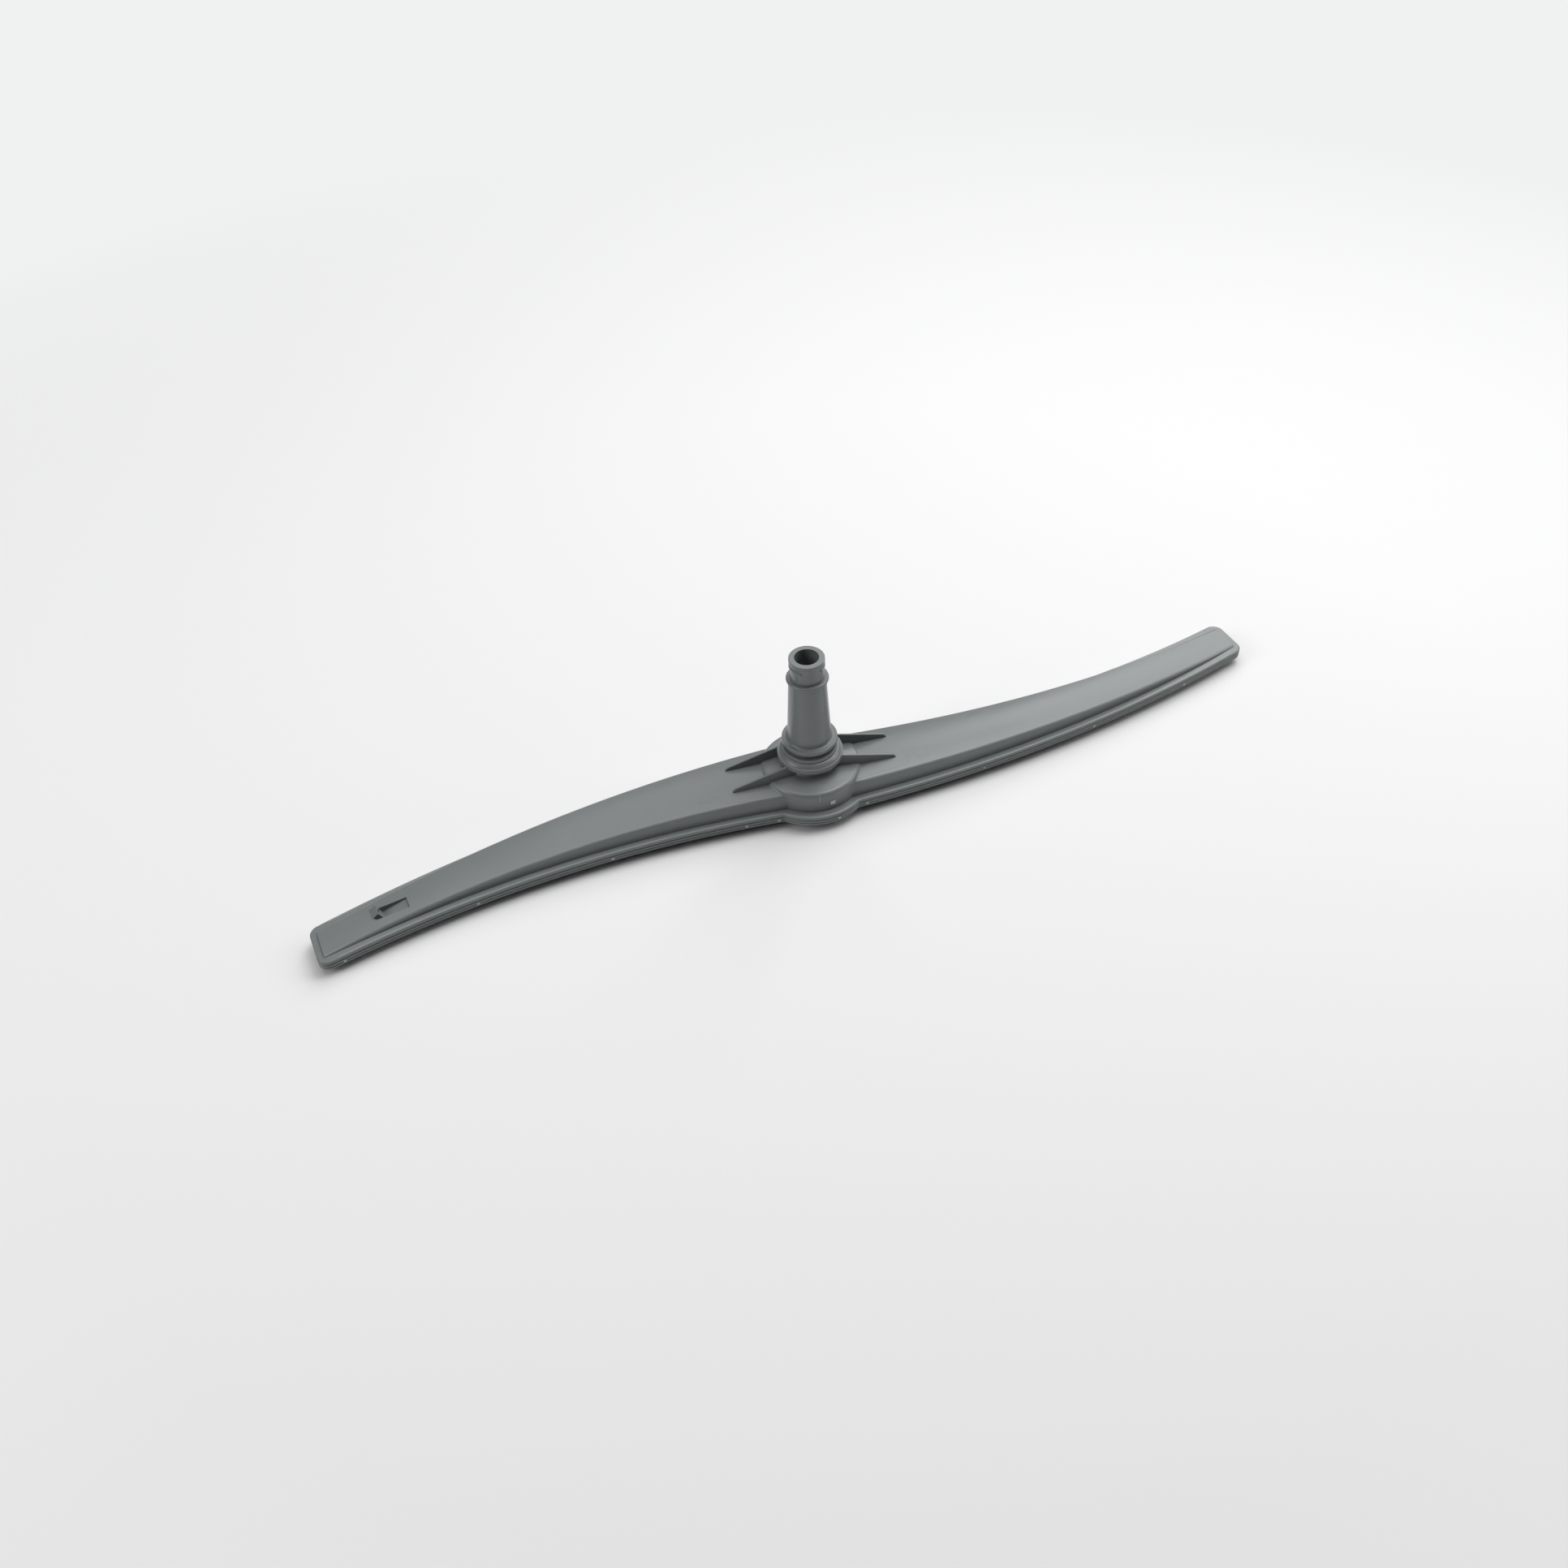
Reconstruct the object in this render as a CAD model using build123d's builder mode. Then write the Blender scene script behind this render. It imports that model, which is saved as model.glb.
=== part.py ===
from build123d import *
import os
from math import cos, radians, sin, tan

# Dishwasher spray arm: an inlet moulding with the water pipe, and a nozzle moulding, welded rim to rim.
# Millimetres. +Z runs up the inlet pipe, +X along the arms, and the origin is on the pipe's axis
# at the plane that the hub's foot stands on. One arm is the other turned half a turn about the pipe.

# Arms in plan, measured over the rim
HALF_LENGTH = 233.7
ROOT_WIDTH = 44.6
MID_WIDTH = 30.9
TIP_WIDTH = 23.0
BOW = 11.45
TIP_CORNER = 5.0
DROOP = 0.9

# Rim: an upper and a lower flange with the weld between them, and a shallow groove round the lower one
RIM_WIDTH = 3.2
TIP_RIM = 3.2
UPPER_RIM = 1.4
LOWER_RIM = 2.9
WELD = 0.35
WELD_INSET = 0.7
RIDGE = 1.3
RIM_GROOVE = 0.3
RIM_GROOVE_INSET = 0.4
UPPER_RIM_ROUND = 0.6
RIDGE_ROUND = 0.5
LOWER_RIM_ROUND = 0.35

# Walls of both mouldings
WALL = 1.8
TIP_SOLID = 8.0
DRAFT = 3.0
SHOULDER = 1.4

# Inlet side of the arms, heights over the rim at root, middle and tip
CROWN = (7.7, 5.3, 0.3)
CROWN_CAMBER = (2.2, 1.3, 0.4)

# Nozzle side of the arms, depths under the rim at root, middle and tip
BELLY = (2.4, 1.9, 0.8)
BELLY_CAMBER = (1.2, 1.0, 0.5)

# Hub, with its heights over the rim, and the foot that it stands on
HUB_BULGE = 4.9
HUB_RIM_WIDTH = 4.0
HUB_NOTCH_ROUND = 1.0
HUB_HEIGHT = 10.0
HUB_ROUND = 2.2
HUB_FILLET = 1.2
HUB_ROOF_RISE = 1.6
NECK_R = 11.6
NECK_ROUND = 1.0
SEAM_HEIGHT = 7.425
FOOT_R = 16.5
FOOT_ROUND = 2.0
FOOT_KNEE = 2.6

# Inlet pipe, heights over the rim
PIPE_TOP = 72.0
BORE_R = 5.5
BORE_LENGTH = 14.0
BORE_FOOT_R = 7.4
MOUTH_R = 8.03
MOUTH_LIP = 2.5
MOUTH_ROUND = 0.3
CLIP_GAP = 0.9
CLIP_RIB = 1.4
CLIP_ARC = 108.0
CLIP_BEVEL = 0.3
PIPE_END_R = 7.65
STOP_R = 9.55
STOP_TOP = 61.4
STOP_THICK = 1.6
STOP_ROUND = 0.7
TUBE_TOP_R = 8.45
TUBE_FOOT_R = 10.1
TUBE_FILLET = 1.0
RING_R = 12.7
RING_THICK = 1.9
RING_GAP = 2.6
RING_CORE_R = 10.9
RING_ROUND = 0.3
UPPER_RING_TOP = 26.6
SKIRT_R = 15.0
SKIRT_TOP = 17.5
SKIRT_EDGE = 1.9
SKIRT_FLARE_R = 11.8
SKIRT_HOLLOW = 0.8
SKIRT_ROUND = 0.3

# Fins that brace the pipe along each arm, heights over the rim
FIN_ANGLE = -8.76
FIN_SPACING = 14.64
FIN_THICK = 1.1
FIN_ROUND = 0.4
FIN_START = 13.0
FIN_TOP = 17.1
FIN_TOP_REACH = 37.8
FIN_TOP_END = 10.5
FIN_REACH = 40.4
FIN_FOOT = 7.0
FIN_NOSE = 2.0

# Nozzles of each arm
NOZZLES = 5
NOZZLE_FIRST = 62.0
NOZZLE_TIP_GAP = 28.0
NOZZLE_LENGTH = 7.0
NOZZLE_WIDTH = 2.0
NOZZLE_LIP = 1.5
NOZZLE_PROUD = 0.6
NOZZLE_TURN = 62.0

# Hooded jet on one arm, aimed back along the arm towards the hub
JET_TIP_GAP = 29.7
JET_OFFSET = -0.4
JET_TURN = 1.0
JET_WIDTH = 4.8
JET_RISE = 1.8
JET_TAIL = 3.4
JET_LEAN = 2.5
JET_DROP = 4.35
JET_TROUGH_RUN = 13.5
JET_TROUGH_BACK = 2.2
JET_TROUGH_SIDE = 1.3
JET_FLOOR = 1.4
JET_CHEEK = 1.2
JET_SLIT_WIDTH = 2.6
JET_SLIT_TOP = 0.9
JET_SLIT_SILL = 0.6
JET_DUCT = 1.2

STATIONS = (0.0, 0.25, 0.5, 0.75, 1.0)

TOUCH = 0.01

seam = SEAM_HEIGHT
rim_top = seam + WELD / 2 + UPPER_RIM
hub_rim_r = ROOT_WIDTH / 2 + HUB_BULGE
hub_wall_r = hub_rim_r - HUB_RIM_WIDTH
rim_bottom = seam - WELD / 2 - LOWER_RIM
hub_top = rim_top + HUB_HEIGHT
pipe_top = rim_top + PIPE_TOP
reach = HALF_LENGTH + RIM_WIDTH


def along(x, root, mid, tip):
    """Value at distance x from the pipe of the smooth curve through its root, middle and tip values."""
    s = abs(x) / HALF_LENGTH
    return root * (1 - s) * (1 - 2 * s) + mid * 4 * s * (1 - s) + tip * s * (2 * s - 1)


def droop(x):
    """Fall of the arms at distance x from the pipe."""
    return -DROOP * (x / HALF_LENGTH) ** 2


def middle(x):
    """Sideways place of the arms' middle line, bowed opposite ways on the two arms."""
    bow = along(x, 0, BOW, 0)
    return -bow if x > 0 else bow


def plan(z, inset):
    """Outline of the rim seen along the pipe, drawn in by an inset."""
    root = ROOT_WIDTH / 2 - inset
    mid = MID_WIDTH / 2 - inset
    tip = TIP_WIDTH / 2 - inset
    end = HALF_LENGTH - inset
    half = HALF_LENGTH / 2
    hub = hub_rim_r - inset
    with BuildSketch(Plane.XY.offset(z)) as outline:
        with BuildLine():
            ThreePointArc((0, -root), (half, -BOW - mid), (end, -tip))
            Line((end, -tip), (end, tip))
            ThreePointArc((end, tip), (half, -BOW + mid), (0, root))
            ThreePointArc((0, root), (-half, BOW + mid), (-end, tip))
            Line((-end, tip), (-end, -tip))
            ThreePointArc((-end, -tip), (-half, BOW - mid), (0, -root))
        make_face()
        tips = outline.vertices().filter_by(lambda v: abs(v.X) > half)
        fillet(tips, TIP_CORNER - inset)
        Circle(hub)
        notches = outline.vertices().filter_by(lambda v: abs(Vector(v.X, v.Y).length - hub) < TOUCH)
        fillet(notches, HUB_NOTCH_ROUND)
    return outline.sketch


def rim_layer(top, bottom, inset):
    """Plate of the rim's outline between two heights, with both faces following the arms' droop."""
    fall = droop(reach)
    with BuildPart() as layer:
        extrude(plan(bottom + fall - WALL, inset), amount=top - bottom - fall + 2 * WALL)
        with BuildSketch(Plane.XZ):
            with BuildLine():
                ThreePointArc((-reach, top + fall), (0, top), (reach, top + fall))
                Line((reach, top + fall), (reach, bottom + fall))
                ThreePointArc((reach, bottom + fall), (0, bottom), (-reach, bottom + fall))
                Line((-reach, bottom + fall), (-reach, top + fall))
            make_face()
        extrude(amount=reach, both=True, mode=Mode.INTERSECT)
    return layer.part


def broad_faces(layer):
    """Bottom and top face of a layer of the rim."""
    return layer.faces().sort_by(SortBy.AREA)[-2:].sort_by(Axis.Z)


def arm_form(widest, inset, tip_inset):
    """Solid of the right-hand arm inside its rim, crown and belly in one, drawn in from its widest level."""
    end = HALF_LENGTH - TIP_RIM - tip_inset
    lean = tan(radians(DRAFT))
    with BuildPart() as form:
        for share in STATIONS:
            x = share * end
            y = middle(x)
            z = widest + droop(x)
            foot = along(x, ROOT_WIDTH, MID_WIDTH, TIP_WIDTH) / 2 - RIM_WIDTH - inset
            rise = rim_top - widest + along(x, *CROWN) - inset
            sink = widest - rim_bottom + along(x, *BELLY) - inset
            top = z + rise
            bottom = z - sink
            crown = foot - rise * lean
            belly = foot - sink * lean
            with BuildSketch(Plane.YZ.offset(x)) as section:
                with BuildLine():
                    Polyline((y - crown, top), (y - foot, z), (y - belly, bottom))
                    ThreePointArc(
                        (y - belly, bottom), (y, bottom - along(x, *BELLY_CAMBER)), (y + belly, bottom)
                    )
                    Polyline((y + belly, bottom), (y + foot, z), (y + crown, top))
                    ThreePointArc((y + crown, top), (y, top + along(x, *CROWN_CAMBER)), (y - crown, top))
                make_face()
                corners = section.vertices().group_by(Axis.Y)
                fillet(corners[-1], min(SHOULDER, rise / 2))
                fillet(corners[0], min(SHOULDER, sink / 2))
        loft()
    return form.part


def seam_side(side):
    """Everything above the welded seam, or below it."""
    fall = droop(reach)
    far = seam + side * (pipe_top + reach)
    with BuildPart() as half:
        with BuildSketch(Plane.XZ):
            with BuildLine():
                ThreePointArc((-reach, seam + fall), (0, seam), (reach, seam + fall))
                Polyline((reach, seam + fall), (reach, far), (-reach, far), (-reach, seam + fall))
            make_face()
        extrude(amount=reach, both=True)
    return half.part


def both_arms(form):
    """Adds one arm's solid and the same solid turned half a turn about the pipe."""
    add(form)
    add(form, rotation=(0, 0, 180))


def corner(sketch, r, z):
    """Corner of a profile at a radius and a height."""
    return sketch.vertices().sort_by_distance((r, z))[0]


def on_hub_wall(edge):
    """True for an edge where an arm runs into the hub's wall."""
    return all(Vector(p.X, p.Y).length < hub_wall_r + TOUCH for p in (edge @ 0, edge @ 0.5, edge @ 1))


def upright(origin, angle):
    """Plane that stands on edge and runs at an angle round the pipe, with its own Y up."""
    turn = radians(angle)
    return Plane(origin=origin, x_dir=(cos(turn), sin(turn), 0), z_dir=(sin(turn), -cos(turn), 0))


def fin_plate(side):
    """Plate that braces the pipe on one side of it, along both arms, with its top edges rounded."""
    plane = upright((0, 0, rim_top), FIN_ANGLE).offset(side * FIN_SPACING / 2)
    with BuildPart() as plate:
        with BuildSketch(plane) as fin:
            with BuildLine():
                Polyline(
                    (-FIN_START, FIN_TOP),
                    (FIN_START, FIN_TOP),
                    (FIN_TOP_REACH, FIN_TOP_END),
                    (FIN_REACH, FIN_FOOT),
                    (-FIN_REACH, FIN_FOOT),
                    (-FIN_TOP_REACH, FIN_TOP_END),
                    close=True,
                )
            make_face()
            for end in (FIN_TOP_REACH, -FIN_TOP_REACH):
                fillet(corner(fin, end, FIN_TOP_END), FIN_NOSE)
        extrude(amount=FIN_THICK / 2, both=True)
        foot = plate.faces().sort_by(Axis.Z)[0]
        side_edges = plate.edges().filter_by(lambda e: abs(plane.to_local_coords(e @ 0.5).Z) > FIN_THICK / 4)
        fillet([e for e in side_edges if (e @ 0.5).Z > foot.center().Z + TOUCH], FIN_ROUND)
    return plate.part


arm_body = arm_form(rim_bottom + LOWER_RIM / 4, 0, 0)
arm_water = arm_form(seam - LOWER_RIM / 2, WALL, TIP_SOLID)

upper_rim = rim_layer(rim_top, seam + WELD / 2, 0)
upper_rim = fillet(broad_faces(upper_rim)[-1].outer_wire().edges(), UPPER_RIM_ROUND)
ridge = rim_layer(seam - WELD / 2, seam - WELD / 2 - RIDGE, 0)
ridge = fillet(broad_faces(ridge)[-1].outer_wire().edges(), RIDGE_ROUND)
lower_lip = rim_layer(seam - WELD / 2 - RIDGE - RIM_GROOVE, rim_bottom, 0)
for level in (0, -1):
    lower_lip = fillet(broad_faces(lower_lip)[level].outer_wire().edges(), LOWER_RIM_ROUND)

with BuildPart() as waterway:
    both_arms(arm_water)
    with BuildSketch(Plane.XZ):
        chamber_r = hub_wall_r - WALL
        with BuildLine():
            Polyline(
                (0, WALL),
                (FOOT_R - WALL / 2, WALL),
                (chamber_r, FOOT_KNEE + WALL / 2),
                (chamber_r, hub_top - WALL),
                (BORE_FOOT_R, hub_top - WALL + HUB_ROOF_RISE),
                (BORE_R, pipe_top - BORE_LENGTH),
                (BORE_R, pipe_top),
                (0, pipe_top),
                close=True,
            )
        make_face()
    revolve(axis=Axis.Z)

with BuildPart() as inlet_shell:
    both_arms(arm_body)
    with BuildSketch(Plane.XZ) as pipe_profile:
        upper_ring = rim_top + UPPER_RING_TOP
        lower_ring = upper_ring - RING_THICK - RING_GAP
        skirt_top = rim_top + SKIRT_TOP
        skirt_foot = skirt_top - SKIRT_EDGE
        stop_top = rim_top + STOP_TOP
        lip_foot = pipe_top - MOUTH_LIP
        flare = (SKIRT_FLARE_R, lower_ring - RING_THICK)
        with BuildLine():
            Polyline(
                (0, -seam),
                (hub_wall_r, -seam),
                (hub_wall_r, hub_top),
                (NECK_R, hub_top + HUB_ROOF_RISE),
                (NECK_R, skirt_foot - SKIRT_HOLLOW),
                (SKIRT_R, skirt_foot),
                (SKIRT_R, skirt_top),
            )
            SagittaArc((SKIRT_R, skirt_top), flare, -SKIRT_HOLLOW)
            Polyline(
                flare,
                (RING_R, lower_ring - RING_THICK),
                (RING_R, lower_ring),
                (RING_CORE_R, lower_ring),
                (RING_CORE_R, upper_ring - RING_THICK),
                (RING_R, upper_ring - RING_THICK),
                (RING_R, upper_ring),
                (TUBE_FOOT_R, upper_ring),
                (TUBE_TOP_R, stop_top - STOP_THICK),
                (STOP_R, stop_top - STOP_THICK),
                (STOP_R, stop_top),
                (PIPE_END_R, stop_top),
                (PIPE_END_R, lip_foot),
                (MOUTH_R, lip_foot),
                (MOUTH_R, pipe_top),
                (0, pipe_top),
                (0, -seam),
            )
        make_face()
        fillet(corner(pipe_profile, hub_wall_r, hub_top), HUB_ROUND)
        fillet(corner(pipe_profile, NECK_R, hub_top + HUB_ROOF_RISE), NECK_ROUND)
        fillet(corner(pipe_profile, TUBE_FOOT_R, upper_ring), TUBE_FILLET)
        for z in (skirt_foot, skirt_top):
            fillet(corner(pipe_profile, SKIRT_R, z), SKIRT_ROUND)
        for z in (lower_ring - RING_THICK, lower_ring, upper_ring - RING_THICK, upper_ring):
            fillet(corner(pipe_profile, RING_R, z), RING_ROUND)
        for z in (stop_top - STOP_THICK, stop_top):
            fillet(corner(pipe_profile, STOP_R, z), STOP_ROUND)
        fillet(corner(pipe_profile, MOUTH_R, pipe_top), MOUTH_ROUND)
    revolve(axis=Axis.Z)
    fillet(edges().filter_by(GeomType.BSPLINE).filter_by(on_hub_wall), HUB_FILLET)
    for side in (FIN_ANGLE, FIN_ANGLE + 180):
        with BuildSketch(upright((0, 0, 0), side - CLIP_ARC / 2)):
            rib_top = lip_foot - CLIP_GAP
            with BuildLine():
                Polyline(
                    (PIPE_END_R - CLIP_BEVEL, rib_top),
                    (PIPE_END_R, rib_top),
                    (MOUTH_R, rib_top - CLIP_BEVEL),
                    (MOUTH_R, rib_top - CLIP_RIB + CLIP_BEVEL),
                    (PIPE_END_R, rib_top - CLIP_RIB),
                    (PIPE_END_R - CLIP_BEVEL, rib_top - CLIP_RIB),
                    close=True,
                )
            make_face()
        revolve(axis=Axis.Z, revolution_arc=CLIP_ARC)
    for side in (1, -1):
        add(fin_plate(side))
    add(seam_side(1), mode=Mode.INTERSECT)
    add(upper_rim)
    add(rim_layer(seam + WELD, seam, WELD_INSET))
    add(waterway.part, mode=Mode.SUBTRACT)
    jet_x = JET_TIP_GAP - HALF_LENGTH
    jet_y = middle(jet_x) - JET_OFFSET
    jet_crown = rim_top + droop(jet_x) + along(jet_x, *CROWN) + along(jet_x, *CROWN_CAMBER)
    jet_plane = upright((jet_x, jet_y, jet_crown), JET_TURN)
    jet_floor = JET_RISE - JET_DROP
    trough_width = JET_WIDTH + JET_TROUGH_SIDE
    with BuildSketch(jet_plane.offset(-JET_WIDTH / 2 - JET_CHEEK)):
        with BuildLine():
            Polyline(
                (-JET_TAIL, -WALL / 2),
                (JET_TROUGH_RUN, -WALL / 2),
                (JET_TROUGH_RUN, -WALL),
                (JET_LEAN, jet_floor - JET_FLOOR),
                (-JET_TAIL, jet_floor - JET_FLOOR),
                close=True,
            )
        make_face()
    extrude(amount=trough_width + 2 * JET_CHEEK)
    with BuildSketch(jet_plane.offset(-JET_WIDTH / 2)):
        with BuildLine():
            Polyline(
                (-JET_TROUGH_BACK, 0),
                (0, jet_floor),
                (JET_LEAN, jet_floor),
                (JET_TROUGH_RUN, 0),
                (JET_TROUGH_RUN, JET_RISE),
                (-JET_TROUGH_BACK, JET_RISE),
                close=True,
            )
        make_face()
    extrude(amount=trough_width, mode=Mode.SUBTRACT)
    with BuildSketch(jet_plane.offset(-JET_WIDTH / 2 - WALL / 2)):
        with BuildLine():
            Polyline(
                (-JET_TAIL, -WALL / 4),
                (0, JET_RISE),
                (JET_LEAN, jet_floor - JET_FLOOR / 2),
                (-JET_TAIL, jet_floor - JET_FLOOR / 2),
                close=True,
            )
        make_face()
    extrude(amount=JET_WIDTH + WALL / 2)
    with BuildSketch(jet_plane):
        with BuildLine():
            Polyline(
                (-JET_DUCT, jet_floor - 2 * JET_FLOOR),
                (-JET_DUCT, -JET_SLIT_SILL),
                (0, JET_SLIT_TOP),
                (JET_LEAN, JET_SLIT_TOP),
                (JET_LEAN, -JET_SLIT_SILL),
                (0, -JET_SLIT_SILL),
                (0, jet_floor - 2 * JET_FLOOR),
                close=True,
            )
        make_face()
    extrude(amount=JET_SLIT_WIDTH / 2, both=True, mode=Mode.SUBTRACT)
inlet_shell.part.label = "inlet_shell"

with BuildPart() as nozzle_shell:
    both_arms(arm_body)
    with BuildSketch(Plane.XZ) as foot_profile:
        with BuildLine():
            Polyline(
                (0, 0),
                (FOOT_R, 0),
                (hub_wall_r, FOOT_KNEE),
                (hub_wall_r, rim_top),
                (0, rim_top),
                close=True,
            )
        make_face()
        fillet(corner(foot_profile, FOOT_R, 0), FOOT_ROUND)
        fillet(corner(foot_profile, hub_wall_r, FOOT_KNEE), FOOT_ROUND)
    revolve(axis=Axis.Z)
    pads = []
    nozzle_pitch = (HALF_LENGTH - NOZZLE_TIP_GAP - NOZZLE_FIRST) / (NOZZLES - 1)
    for side in (1, -1):
        for number in range(NOZZLES):
            x = NOZZLE_FIRST + number * nozzle_pitch
            depth = rim_bottom + droop(x) - along(x, *BELLY) - along(x, *BELLY_CAMBER)
            pads.append(Plane((side * x, middle(side * x), depth)))
    for plane in pads:
        with BuildSketch(plane.offset(-NOZZLE_PROUD)):
            SlotOverall(NOZZLE_LENGTH + 2 * NOZZLE_LIP, NOZZLE_WIDTH + 2 * NOZZLE_LIP, rotation=NOZZLE_TURN)
        extrude(amount=NOZZLE_PROUD + WALL, taper=DRAFT)
    add(seam_side(-1), mode=Mode.INTERSECT)
    add(ridge)
    add(lower_lip)
    add(rim_layer(seam - WELD, rim_bottom + LOWER_RIM_ROUND, RIM_GROOVE_INSET))
    add(rim_layer(seam, seam - WELD, WELD_INSET))
    add(waterway.part, mode=Mode.SUBTRACT)
    for plane in pads:
        with BuildSketch(plane.offset(-NOZZLE_PROUD)):
            SlotOverall(NOZZLE_LENGTH, NOZZLE_WIDTH, rotation=NOZZLE_TURN)
        extrude(amount=NOZZLE_PROUD + 2 * WALL, mode=Mode.SUBTRACT)
nozzle_shell.part.label = "nozzle_shell"

os.makedirs("parts", exist_ok=True)
for shell in (inlet_shell, nozzle_shell):
    export_step(shell.part, f"parts/{shell.part.label}.step")
    print(shell.part.label, len(shell.part.solids()), round(shell.part.volume))
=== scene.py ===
"""Looks of the dishwasher spray arm, built round its two imported shells. Metres, +Z up the inlet pipe."""

import math

import bmesh
import bpy
from mathutils import Matrix, Vector
from mathutils.bvhtree import BVHTree


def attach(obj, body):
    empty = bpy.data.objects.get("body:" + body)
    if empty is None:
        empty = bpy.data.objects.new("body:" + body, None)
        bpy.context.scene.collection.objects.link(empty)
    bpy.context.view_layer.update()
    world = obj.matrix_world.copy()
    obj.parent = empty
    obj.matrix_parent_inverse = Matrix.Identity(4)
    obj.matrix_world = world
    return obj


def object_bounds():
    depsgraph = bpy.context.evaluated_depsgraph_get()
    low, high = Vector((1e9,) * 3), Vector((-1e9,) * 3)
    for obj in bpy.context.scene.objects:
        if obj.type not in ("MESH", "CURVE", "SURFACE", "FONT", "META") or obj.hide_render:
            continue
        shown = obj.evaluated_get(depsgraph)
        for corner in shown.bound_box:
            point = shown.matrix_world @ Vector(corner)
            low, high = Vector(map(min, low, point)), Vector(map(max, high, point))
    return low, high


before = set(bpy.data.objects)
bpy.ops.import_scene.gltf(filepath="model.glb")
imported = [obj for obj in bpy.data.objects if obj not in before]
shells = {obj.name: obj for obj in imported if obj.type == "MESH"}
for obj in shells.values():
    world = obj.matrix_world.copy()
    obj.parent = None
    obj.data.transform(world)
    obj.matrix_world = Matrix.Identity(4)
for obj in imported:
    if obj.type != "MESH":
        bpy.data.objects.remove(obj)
cad_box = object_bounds()

# Sizes of the small marks are in millimetres
MM = 0.001

# Rays that look for a shell's surface start this far out
RAY_START = 40.0

# Plan of the lines that the mould's slides left on the crowns and the hub roof. They are painted darker,
# as painted shade in their fine steps
SLIDE_LINES = (
    ((15.2, -18.2), (23.0, -18.4), (39.8, -19.3), (41.2, -18.6), (42.4, -14.8), (46.5, -15.1),
     (46.5, -17.6), (51.6, -18.4), (52.5, -15.7), (53.0, -12.4)),
    ((-53.2, 4.8), (-55.1, -0.9), (-50.6, -2.4), (-49.0, -0.2), (-46.3, -0.7), (-46.6, -3.2),
     (-44.5, -5.8), (-40.0, -7.4), (-29.6, -10.8)),
    ((-2.4, -17.4), (3.0, -18.0), (8.6, -18.3), (15.2, -17.6)),
)
LINE_WIDTH = 0.24
LINE_PROUD = 0.05
LINE_CUTS = 8
LINE_OVERLAP = 1.02
LINE_SKIN = 0.12

# Upright marks on the round walls: azimuth in degrees, lower and upper height, width at MARK_R.
# The parting line on the pipe end and short marks on the two rings, painted darker as shade in their gaps,
# then painted highlight streaks under the clip ribs and a painted highlight mark on the hub wall
MARK_R = 10.0
PIPE_MARKS = ((261.24, 70.9, 76.0, 0.35), (238.6, 29.5, 30.8, 0.45), (238.6, 34.0, 35.3, 0.45))
BRIGHT_MARKS = ((222.0, 74.6, 75.9, 0.6), (293.6, 75.2, 76.0, 0.7), (255.6, 14.9, 19.1, 0.34))

# The rim falls towards the tips, by the square of the distance
ARM_DROOP = 0.9
HALF_LENGTH = 233.7

# Nubs as width, height and how far they stand proud, with their rounded edge and the depth of their cup.
# Weld nubs on the lower rim, as places along its front edge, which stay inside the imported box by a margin,
# and the gate nub on the hub wall
WELD_NUBS = (-223.0, -162.5, -100.3, -38.5, -23.7, 1.6, 17.2, 77.0, 138.2, 194.0)
NUB_LEVEL = 5.95
NUB_SIZE = (1.2, 0.9, 0.22)
NUB_EDGE = 0.16
NUB_CUP = 0.08
BOX_MARGIN = 0.08
GATE_PLACE = (0.36, 12.88)
GATE_SIZE = (2.2, 1.7, 0.40)
GATE_EDGE = 0.10
GATE_CUP = 0.24

# Fine bead along the outer edge of the upper flange, lightened as a painted highlight
BEAD_END = 225.0
BEAD_CUTS = 600
BEAD_LEVEL = 8.3
BEAD_INSET = 0.95
BEAD_WIDTH = 0.6
BEAD_PROUD = 0.08

# Fine lip round the skirt's upper edge, lightened as a painted highlight
SKIRT_LIP_R = 14.8
SKIRT_LIP = 0.2
LIP_SIDES = 12
LIP_STEPS = 120

# Patterns of the moulded skin: each noise has its scale per metre and its detail, and each share or sheen
# the low and high level that are spread to least and most. The grain's depth is in millimetres
FLOW_NOISE = (22.0, 3.0)
FLOW_SHEEN = (0.3, 0.7, 0.94, 1.06)
SPECK_NOISE = (3200.0, 1.0)
SPECK_SHARE = (0.60, 0.80, 0.0, 0.08)
STROKE_NOISE = (1.0, 1.0)
STROKE_SLANT = 8.0
STROKE_STRETCH = (70.0, 1500.0, 1500.0)
STROKE_SHARE = (0.62, 0.80, 0.0, 1.0)
PATCH_NOISE = (34.0, 1.0)
PATCH_SHARE = (0.50, 0.72, 0.0, 0.3)
GRAIN_NOISE = (2600.0, 2.0)
GRAIN_STRENGTH = 0.12
GRAIN_DEPTH = 0.1

# Shades of the plastic as dark tone, light tone and roughness
INLET_SHADE = ((0.156, 0.170, 0.170), (0.182, 0.198, 0.198), 0.30)
NOZZLE_SHADE = ((0.151, 0.165, 0.165), (0.176, 0.192, 0.192), 0.30)
# Darker tones painted on the fine lines, as the shade in their steps and gaps
SHADED_LINE_TONES = ((0.120, 0.130, 0.130), (0.145, 0.157, 0.157), 0.45)
# Lighter tones painted on the bead, the lip and the streaks, as highlights on their edges
HIGHLIGHT_SHADE = ((0.245, 0.262, 0.262), (0.285, 0.305, 0.305), 0.30)
FLASH_SHADE = ((0.480, 0.500, 0.500), (0.570, 0.590, 0.590), 0.38)
TALC = (0.40, 0.42, 0.42, 1.0)
RUBBED = (0.34, 0.36, 0.36, 1.0)

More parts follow.
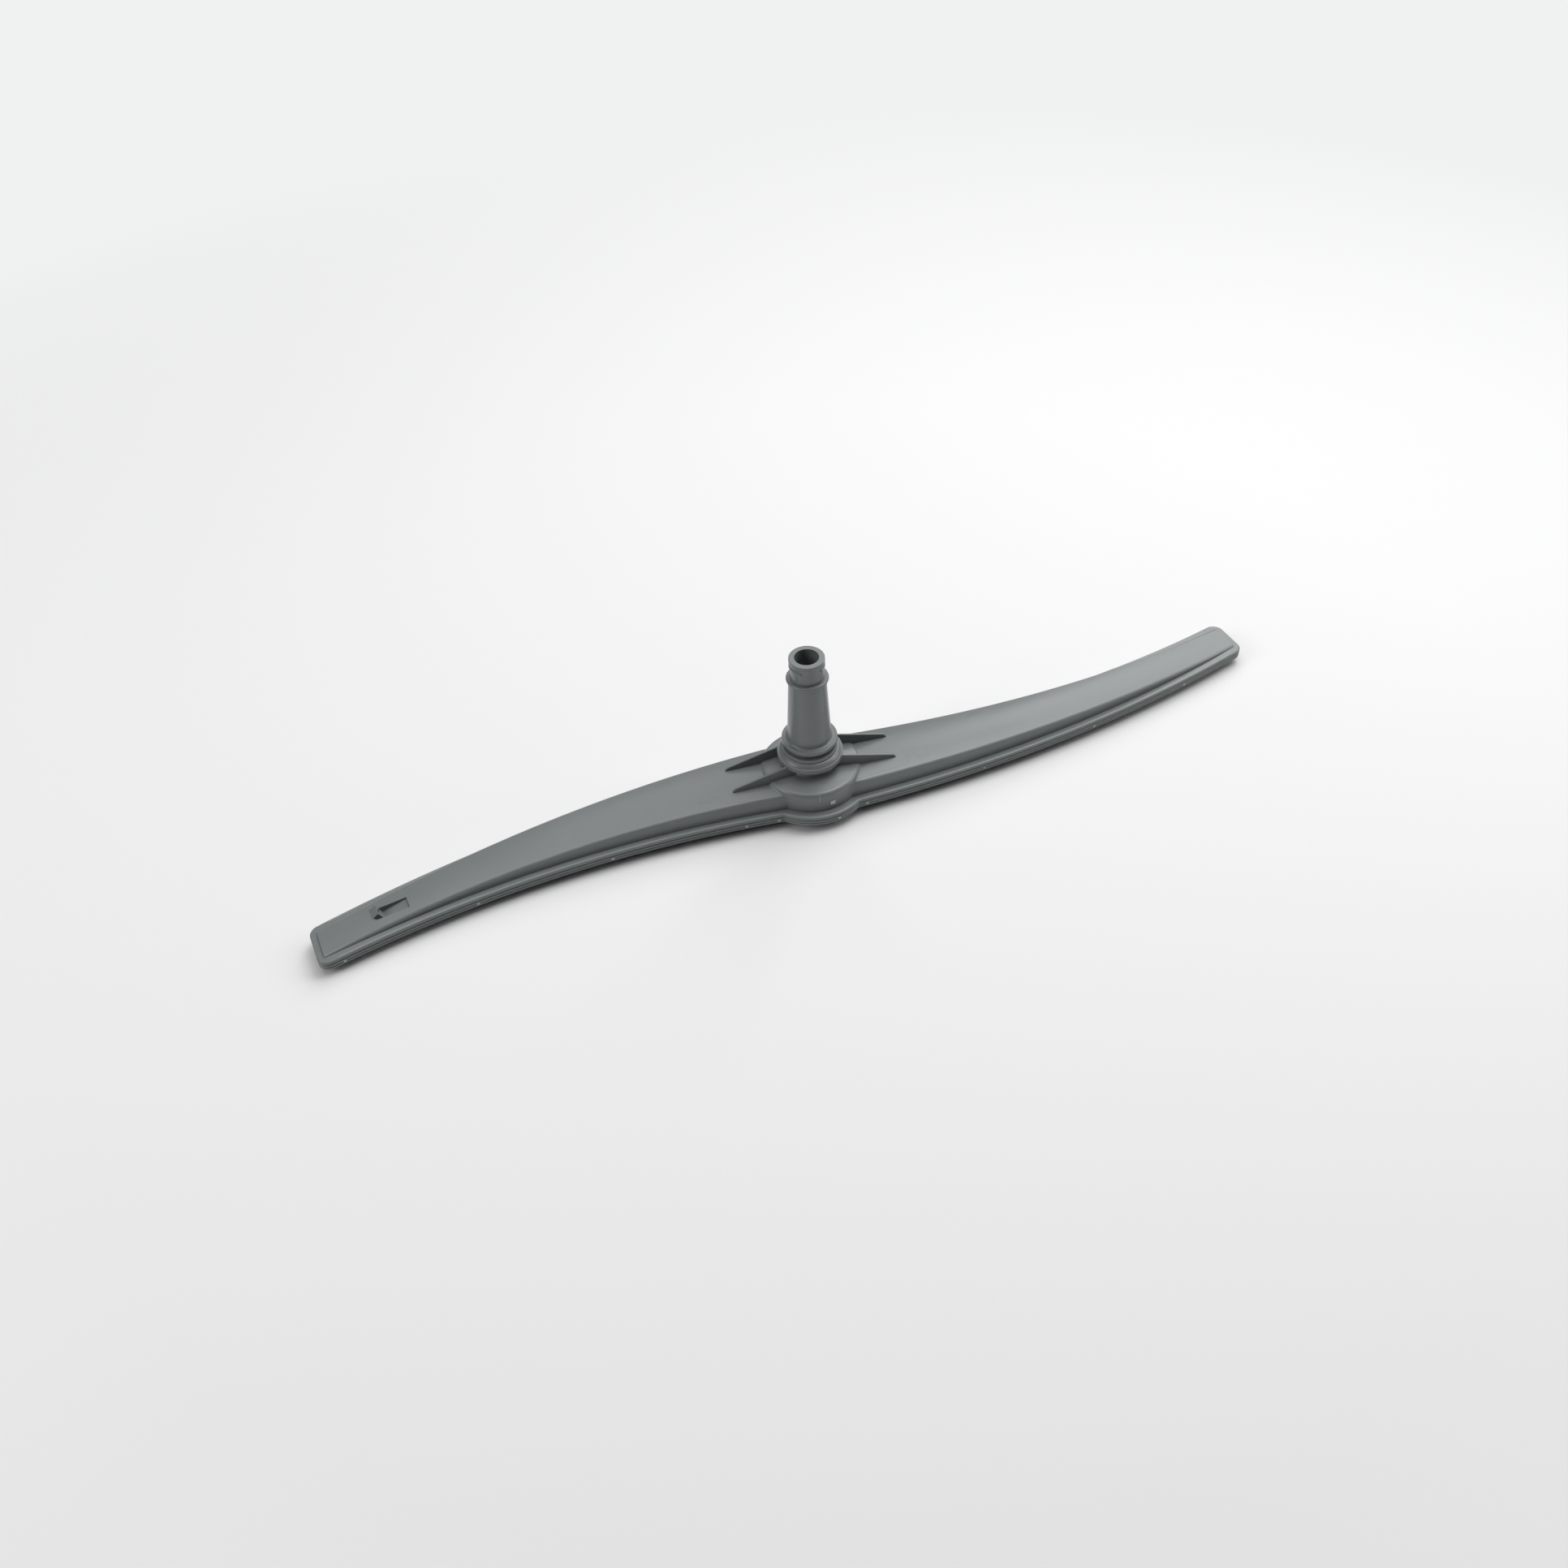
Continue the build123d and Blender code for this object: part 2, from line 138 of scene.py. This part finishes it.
# Table and room, in metres. The table fades into the room's tone for the camera alone
FLOOR_HALF = 6.0
FLOOR_TONE = (0.79, 0.79, 0.79, 1.0)
FLOOR_ROUGHNESS = 0.9
FLOOR_GLOSS = 0.1
FADE_START = 0.35
FADE_END = 0.85
ROOM_TONE = (0.875, 0.88, 0.88, 1.0)
ROOM_LIGHT = 0.02

# Softboxes: name, place, side in metres, power in watts
SOFTBOXES = (
    ("softbox_overhead", (0.045, 0.1, 1.6), 1.2, 6.6),
    ("softbox_over_right", (0.68, 0.182, 1.324), 0.8, 8.8),
    ("softbox_back_right", (1.4, 1.17, 1.23), 1.0, 11.0),
    ("softbox_right", (1.244, -0.264, 0.795), 0.7, 5.0),
    ("softbox_left", (-1.244, 0.0, 0.839), 0.7, 6.4),
    ("softbox_back", (0.4, 1.1, 1.21), 1.0, 4.4),
    ("softbox_over_left", (-0.486, 0.408, 1.36), 0.8, 2.4),
)

# Camera fitted to the photograph: place in metres, turn in degrees, lens and sensor in millimetres
CAMERA_PLACE = (-0.211908, -0.485672, 0.513937)
CAMERA_TURN = (46.1358, 2.2288, -24.3372)
CAMERA_LENS = 36.0904
CAMERA_SENSOR = 36.0
CAMERA_NEAR = 0.01


def noise(nodes, links, place, scale, detail):
    """Soft noise of one scale over the piece's own coordinates."""
    made = nodes.new("ShaderNodeTexNoise")
    made.inputs["Scale"].default_value = scale
    made.inputs["Detail"].default_value = detail
    links.new(place, made.inputs["Vector"])
    return made.outputs["Fac"]


def spread(nodes, links, value, low, high, least, most):
    """Spreads the part of a value between two levels over a new range."""
    made = nodes.new("ShaderNodeMapRange")
    made.inputs["From Min"].default_value = low
    made.inputs["From Max"].default_value = high
    made.inputs["To Min"].default_value = least
    made.inputs["To Max"].default_value = most
    links.new(value, made.inputs["Value"])
    return made.outputs["Result"]


def blend(nodes, links, share, first, second):
    """Mixes two colours by a share."""
    made = nodes.new("ShaderNodeMix")
    made.data_type = "RGBA"
    links.new(share, made.inputs["Factor"])
    links.new(first, made.inputs["A"])
    links.new(second, made.inputs["B"])
    return made.outputs["Result"]


def multiply(nodes, links, first, second):
    """Product of two values."""
    made = nodes.new("ShaderNodeMath")
    made.operation = "MULTIPLY"
    links.new(first, made.inputs[0])
    links.new(second, made.inputs[1])
    return made.outputs["Value"]


def moulded_skin_group():
    """Skin of a moulding: slow tone of the plastic's flow, talc specks, fine grain and faint rub strokes."""
    group = bpy.data.node_groups.new("moulded_skin", "ShaderNodeTree")
    sockets = group.interface
    for name in ("Dark", "Light", "Talc", "Rubbed"):
        sockets.new_socket(name, in_out="INPUT", socket_type="NodeSocketColor")
    sockets.new_socket("Sheen", in_out="INPUT", socket_type="NodeSocketFloat")
    sockets.new_socket("Color", in_out="OUTPUT", socket_type="NodeSocketColor")
    sockets.new_socket("Height", in_out="OUTPUT", socket_type="NodeSocketFloat")
    sockets.new_socket("Roughness", in_out="OUTPUT", socket_type="NodeSocketFloat")
    nodes, links = group.nodes, group.links
    given = nodes.new("NodeGroupInput").outputs
    made = nodes.new("NodeGroupOutput").inputs
    place = nodes.new("ShaderNodeTexCoord").outputs["Object"]
    flow = noise(nodes, links, place, *FLOW_NOISE)
    tone = blend(nodes, links, flow, given["Dark"], given["Light"])
    specks = spread(nodes, links, noise(nodes, links, place, *SPECK_NOISE), *SPECK_SHARE)
    tone = blend(nodes, links, specks, tone, given["Talc"])
    along = nodes.new("ShaderNodeMapping")
    along.inputs["Rotation"].default_value = (0.0, 0.0, math.radians(STROKE_SLANT))
    along.inputs["Scale"].default_value = STROKE_STRETCH
    links.new(place, along.inputs["Vector"])
    strokes = spread(nodes, links, noise(nodes, links, along.outputs["Vector"], *STROKE_NOISE), *STROKE_SHARE)
    patches = spread(nodes, links, noise(nodes, links, place, *PATCH_NOISE), *PATCH_SHARE)
    rub = multiply(nodes, links, strokes, patches)
    links.new(blend(nodes, links, rub, tone, given["Rubbed"]), made["Color"])
    links.new(noise(nodes, links, place, *GRAIN_NOISE), made["Height"])
    satin = nodes.new("ShaderNodeMath")
    satin.operation = "MULTIPLY_ADD"
    links.new(spread(nodes, links, flow, *FLOW_SHEEN), satin.inputs[0])
    links.new(given["Sheen"], satin.inputs[1])
    links.new(rub, satin.inputs[2])
    links.new(satin.outputs["Value"], made["Roughness"])
    return group


def satin_plastic(name, group, dark, light, sheen):
    """Satin talc-filled polypropylene in one shade."""
    material = bpy.data.materials.new(name)
    material.use_nodes = True
    nodes, links = material.node_tree.nodes, material.node_tree.links
    shader = nodes["Principled BSDF"]
    skin = nodes.new("ShaderNodeGroup")
    skin.node_tree = group
    skin.inputs["Dark"].default_value = (*dark, 1.0)
    skin.inputs["Light"].default_value = (*light, 1.0)
    skin.inputs["Talc"].default_value = TALC
    skin.inputs["Rubbed"].default_value = RUBBED
    skin.inputs["Sheen"].default_value = sheen
    relief = nodes.new("ShaderNodeBump")
    relief.inputs["Strength"].default_value = GRAIN_STRENGTH
    relief.inputs["Distance"].default_value = GRAIN_DEPTH * MM
    links.new(skin.outputs["Color"], shader.inputs["Base Color"])
    links.new(skin.outputs["Roughness"], shader.inputs["Roughness"])
    links.new(skin.outputs["Height"], relief.inputs["Height"])
    links.new(relief.outputs["Normal"], shader.inputs["Normal"])
    return material


def dress(piece, material):
    """Gives a piece its one material."""
    piece.data.materials.clear()
    piece.data.materials.append(material)


def skin_of(shell):
    """Search tree of a shell's surface, on which the small marks are laid."""
    shape = bmesh.new()
    shape.from_mesh(shells[shell].data)
    tree = BVHTree.FromBMesh(shape)
    shape.free()
    return tree


def from_above(point):
    """Start and direction of a plumb line down onto the arms."""
    return Vector((point.x, point.y, RAY_START * MM)), Vector((0.0, 0.0, -1.0))


def from_outside(point):
    """Start and direction of a level line in to the pipe's axis."""
    away = Vector((point.x, point.y, 0.0)).normalized()
    return away * RAY_START * MM + Vector((0.0, 0.0, point.z)), -away


def on_long_side(tree, x, level, turn):
    """Point and outward direction on the front of a shell at one place and level, or half a turn round."""
    start = Vector((x * turn, -RAY_START * turn, level)) * MM
    return tree.ray_cast(start, Vector((0.0, turn, 0.0)))[:2]


def drooped(level, x):
    """Height of a level of the rim at one place along the arms."""
    return level - ARM_DROOP * (x / HALF_LENGTH) ** 2


def flat_strip(shape, cuts):
    """Corners of a strip one long and one wide, in three rows, that is still to be laid on a shell."""
    return bmesh.ops.create_grid(shape, x_segments=cuts, y_segments=2, size=0.5)["verts"]


def settle(corner, tree, ray, proud):
    """Lays a strip's corner on a shell. The middle row stands proud, and the outer rows are as deep under."""
    middle_row = abs(corner.co.y) < 0.1
    hit, normal = tree.ray_cast(*ray)[:2]
    corner.co = hit + normal * (proud if middle_row else -proud) * MM


def lay_line(shape, tree, ray, start, end, width):
    """Fine raised line between two points, laid on a shell along the rays."""
    run = end - start
    across = run.cross(ray(start)[1]).normalized() * width * MM
    for corner in flat_strip(shape, LINE_CUTS):
        spot = start + run * (corner.co.x * LINE_OVERLAP + 0.5) + across * corner.co.y
        settle(corner, tree, ray(spot), LINE_PROUD)


def lay_upright(shape, tree, azimuth, low, high, width):
    """Fine raised line up a round wall at one azimuth."""
    turn = math.radians(azimuth)
    foot = Vector((math.cos(turn), math.sin(turn), 0.0)) * MARK_R * MM
    lift = Vector((0.0, 0.0, MM))
    lay_line(shape, tree, from_outside, foot + lift * low, foot + lift * high, width)


def moulded_nub(shape, place, outward, size, edge, cup):
    """Small rounded nub, half of it in the wall, with a shallow cup in its face."""
    wide, tall, proud = size
    turn = outward.to_track_quat("Z", "Y").to_matrix().to_4x4()
    scale = Matrix.Diagonal((wide * MM, tall * MM, proud * 2 * MM, 1.0))
    corners = bmesh.ops.create_cube(shape, size=1.0, matrix=Matrix.Translation(place) @ turn @ scale)["verts"]
    faces = {face for corner in corners for face in corner.link_faces}
    for face in faces:
        face.normal_update()
    front = max(faces, key=lambda face: face.normal.dot(outward))
    bmesh.ops.inset_individual(shape, faces=[front], thickness=cup * 2 * MM, depth=-cup * MM)
    edges = list({line for corner in corners for line in corner.link_edges} | set(front.edges))
    bmesh.ops.bevel(shape, geom=edges, offset=edge * MM, offset_type="OFFSET", affect="EDGES", segments=2,
                    profile=0.5, material=-1)


def flange_bead(shape, tree, turn):
    """Fine raised bead along the outer edge of the upper flange, on one long side."""
    for corner in flat_strip(shape, BEAD_CUTS):
        x = corner.co.x * 2.0 * BEAD_END
        edge, outward = on_long_side(tree, x, drooped(BEAD_LEVEL, x), turn)
        outward = Vector((outward.x, outward.y, 0.0)).normalized()
        spot = edge - outward * (BEAD_INSET + corner.co.y * BEAD_WIDTH) * MM
        settle(corner, tree, from_above(spot), BEAD_PROUD)


def skirt_lip(shape, tree):
    """Fine round lip along the upper edge of the skirt."""
    edge = tree.ray_cast(*from_above(Vector((0.0, -SKIRT_LIP_R, 0.0)) * MM))[0]
    stand = Matrix.Translation(edge) @ Matrix.Rotation(math.radians(90.0), 4, "Y")
    bmesh.ops.create_circle(shape, segments=LIP_SIDES, radius=SKIRT_LIP * MM, matrix=stand)
    bmesh.ops.spin(shape, geom=shape.verts[:] + shape.edges[:], cent=(0.0, 0.0, 0.0), axis=(0.0, 0.0, 1.0),
                   angle=math.tau, steps=LIP_STEPS, use_merge=True)
    bmesh.ops.recalc_face_normals(shape, faces=shape.faces[:])


def new_piece(name, shape, material):
    """Piece of the arm from a finished shape."""
    mesh = bpy.data.meshes.new(name)
    shape.to_mesh(mesh)
    shape.free()
    mesh.shade_smooth()
    piece = bpy.data.objects.new(name, mesh)
    bpy.context.scene.collection.objects.link(piece)
    dress(piece, material)
    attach(piece, "root")
    return piece


def closed(piece):
    """Closes a laid line to a thin skin that reaches into the shell."""
    thick = piece.modifiers.new("thin_skin", "SOLIDIFY")
    thick.thickness = LINE_SKIN * MM
    thick.offset = -1.0


def soft_lamp(name, place, size, power):
    """Square studio softbox that faces the foot of the hub."""
    data = bpy.data.lights.new(name, "AREA")
    data.shape = "SQUARE"
    data.size = size
    data.energy = power
    lamp = bpy.data.objects.new(name, data)
    lamp.location = place
    lamp.rotation_euler = (-Vector(place)).to_track_quat("-Z", "Y").to_euler()
    bpy.context.scene.collection.objects.link(lamp)


def pale_floor():
    """Wide pale table top that the hub stands on."""
    mesh = bpy.data.meshes.new("floor")
    shape = bmesh.new()
    bmesh.ops.create_grid(shape, x_segments=1, y_segments=1, size=FLOOR_HALF)
    shape.to_mesh(mesh)
    shape.free()
    floor = bpy.data.objects.new("floor", mesh)
    bpy.context.scene.collection.objects.link(floor)
    material = bpy.data.materials.new("pale_floor")
    material.use_nodes = True
    nodes, links = material.node_tree.nodes, material.node_tree.links
    shader = nodes["Principled BSDF"]
    shader.inputs["Base Color"].default_value = FLOOR_TONE
    shader.inputs["Roughness"].default_value = FLOOR_ROUGHNESS
    shader.inputs["Specular IOR Level"].default_value = FLOOR_GLOSS
    far = nodes.new("ShaderNodeVectorMath")
    far.operation = "LENGTH"
    links.new(nodes.new("ShaderNodeTexCoord").outputs["Object"], far.inputs[0])
    fade = spread(nodes, links, far.outputs["Value"], FADE_START, FADE_END, 0.0, 1.0)
    seen = nodes.new("ShaderNodeLightPath").outputs["Is Camera Ray"]
    haze = nodes.new("ShaderNodeEmission")
    haze.inputs["Color"].default_value = ROOM_TONE
    mixed = nodes.new("ShaderNodeMixShader")
    links.new(multiply(nodes, links, fade, seen), mixed.inputs["Fac"])
    links.new(shader.outputs["BSDF"], mixed.inputs[1])
    links.new(haze.outputs["Emission"], mixed.inputs[2])
    links.new(mixed.outputs["Shader"], nodes["Material Output"].inputs["Surface"])
    floor.data.materials.append(material)


def photo_camera():
    """Camera at the photograph's place, angle and lens."""
    data = bpy.data.cameras.new("camera")
    data.sensor_width = CAMERA_SENSOR
    data.lens = CAMERA_LENS
    data.clip_start = CAMERA_NEAR
    camera = bpy.data.objects.new("camera", data)
    camera.location = CAMERA_PLACE
    camera.rotation_euler = [math.radians(angle) for angle in CAMERA_TURN]
    bpy.context.scene.collection.objects.link(camera)
    bpy.context.scene.camera = camera


def studio():
    """Softboxes overhead, at both ends and round the back, in a pale room that hardly lights the arm."""
    world = bpy.data.worlds.new("room")
    world.use_nodes = True
    nodes, links = world.node_tree.nodes, world.node_tree.links
    nodes["Background"].inputs["Color"].default_value = ROOM_TONE
    seen = nodes.new("ShaderNodeLightPath").outputs["Is Camera Ray"]
    links.new(spread(nodes, links, seen, 0.0, 1.0, ROOM_LIGHT, 1.0), nodes["Background"].inputs["Strength"])
    bpy.context.scene.world = world
    for softbox in SOFTBOXES:
        soft_lamp(*softbox)


skin_group = moulded_skin_group()
inlet_look = satin_plastic("inlet_plastic_look", skin_group, *INLET_SHADE)
nozzle_look = satin_plastic("nozzle_plastic_look", skin_group, *NOZZLE_SHADE)
# Fine lines painted darker, as painted shade
shaded_look = satin_plastic("painted_shade_lines_look", skin_group, *SHADED_LINE_TONES)
# Fine edges painted lighter, as painted highlights
highlight_look = satin_plastic("painted_highlight_look", skin_group, *HIGHLIGHT_SHADE)
flash_look = satin_plastic("weld_flash_look", skin_group, *FLASH_SHADE)
dress(shells["inlet_shell"], inlet_look)
dress(shells["nozzle_shell"], nozzle_look)

inlet_skin = skin_of("inlet_shell")
nozzle_skin = skin_of("nozzle_shell")

slide_lines, pipe_marks, bright_marks, bead = (bmesh.new() for _ in range(4))
weld_nubs, gate_nubs, lip = (bmesh.new() for _ in range(3))
for turn in (1, -1):
    half = 0.0 if turn == 1 else 180.0
    for azimuth, *mark in PIPE_MARKS:
        lay_upright(pipe_marks, inlet_skin, azimuth + half, *mark)
    for azimuth, *mark in BRIGHT_MARKS:
        lay_upright(bright_marks, inlet_skin, azimuth + half, *mark)
    for x in WELD_NUBS:
        place, outward = on_long_side(nozzle_skin, x, drooped(NUB_LEVEL, x), turn)
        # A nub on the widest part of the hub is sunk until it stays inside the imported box
        over = abs(place.y) + NUB_SIZE[2] * MM - cad_box[1][1]
        place -= outward * max(0.0, over + BOX_MARGIN * MM)
        moulded_nub(weld_nubs, place, outward, NUB_SIZE, NUB_EDGE, NUB_CUP)
    flange_bead(bead, inlet_skin, turn)
    place, outward = on_long_side(inlet_skin, *GATE_PLACE, turn)
    moulded_nub(gate_nubs, place, outward, GATE_SIZE, GATE_EDGE, GATE_CUP)
for line in SLIDE_LINES:
    points = [Vector((x, y, 0.0)) * MM for x, y in line]
    for start, end in zip(points, points[1:]):
        lay_line(slide_lines, inlet_skin, from_above, start, end, LINE_WIDTH)
skirt_lip(lip, inlet_skin)

# The slide and parting lines carry the painted shade
closed(new_piece("slide_witness_lines", slide_lines, shaded_look))
closed(new_piece("pipe_parting_marks", pipe_marks, shaded_look))
# The flange bead, the bright streaks and the skirt lip carry the painted highlight
closed(new_piece("flange_bead", bead, highlight_look))
closed(new_piece("bright_streaks", bright_marks, highlight_look))
new_piece("weld_nubs", weld_nubs, flash_look)
new_piece("gate_nubs", gate_nubs, flash_look)
new_piece("skirt_lip", lip, highlight_look)

pale_floor()
photo_camera()
studio()
bpy.context.scene.view_settings.view_transform = "Standard"
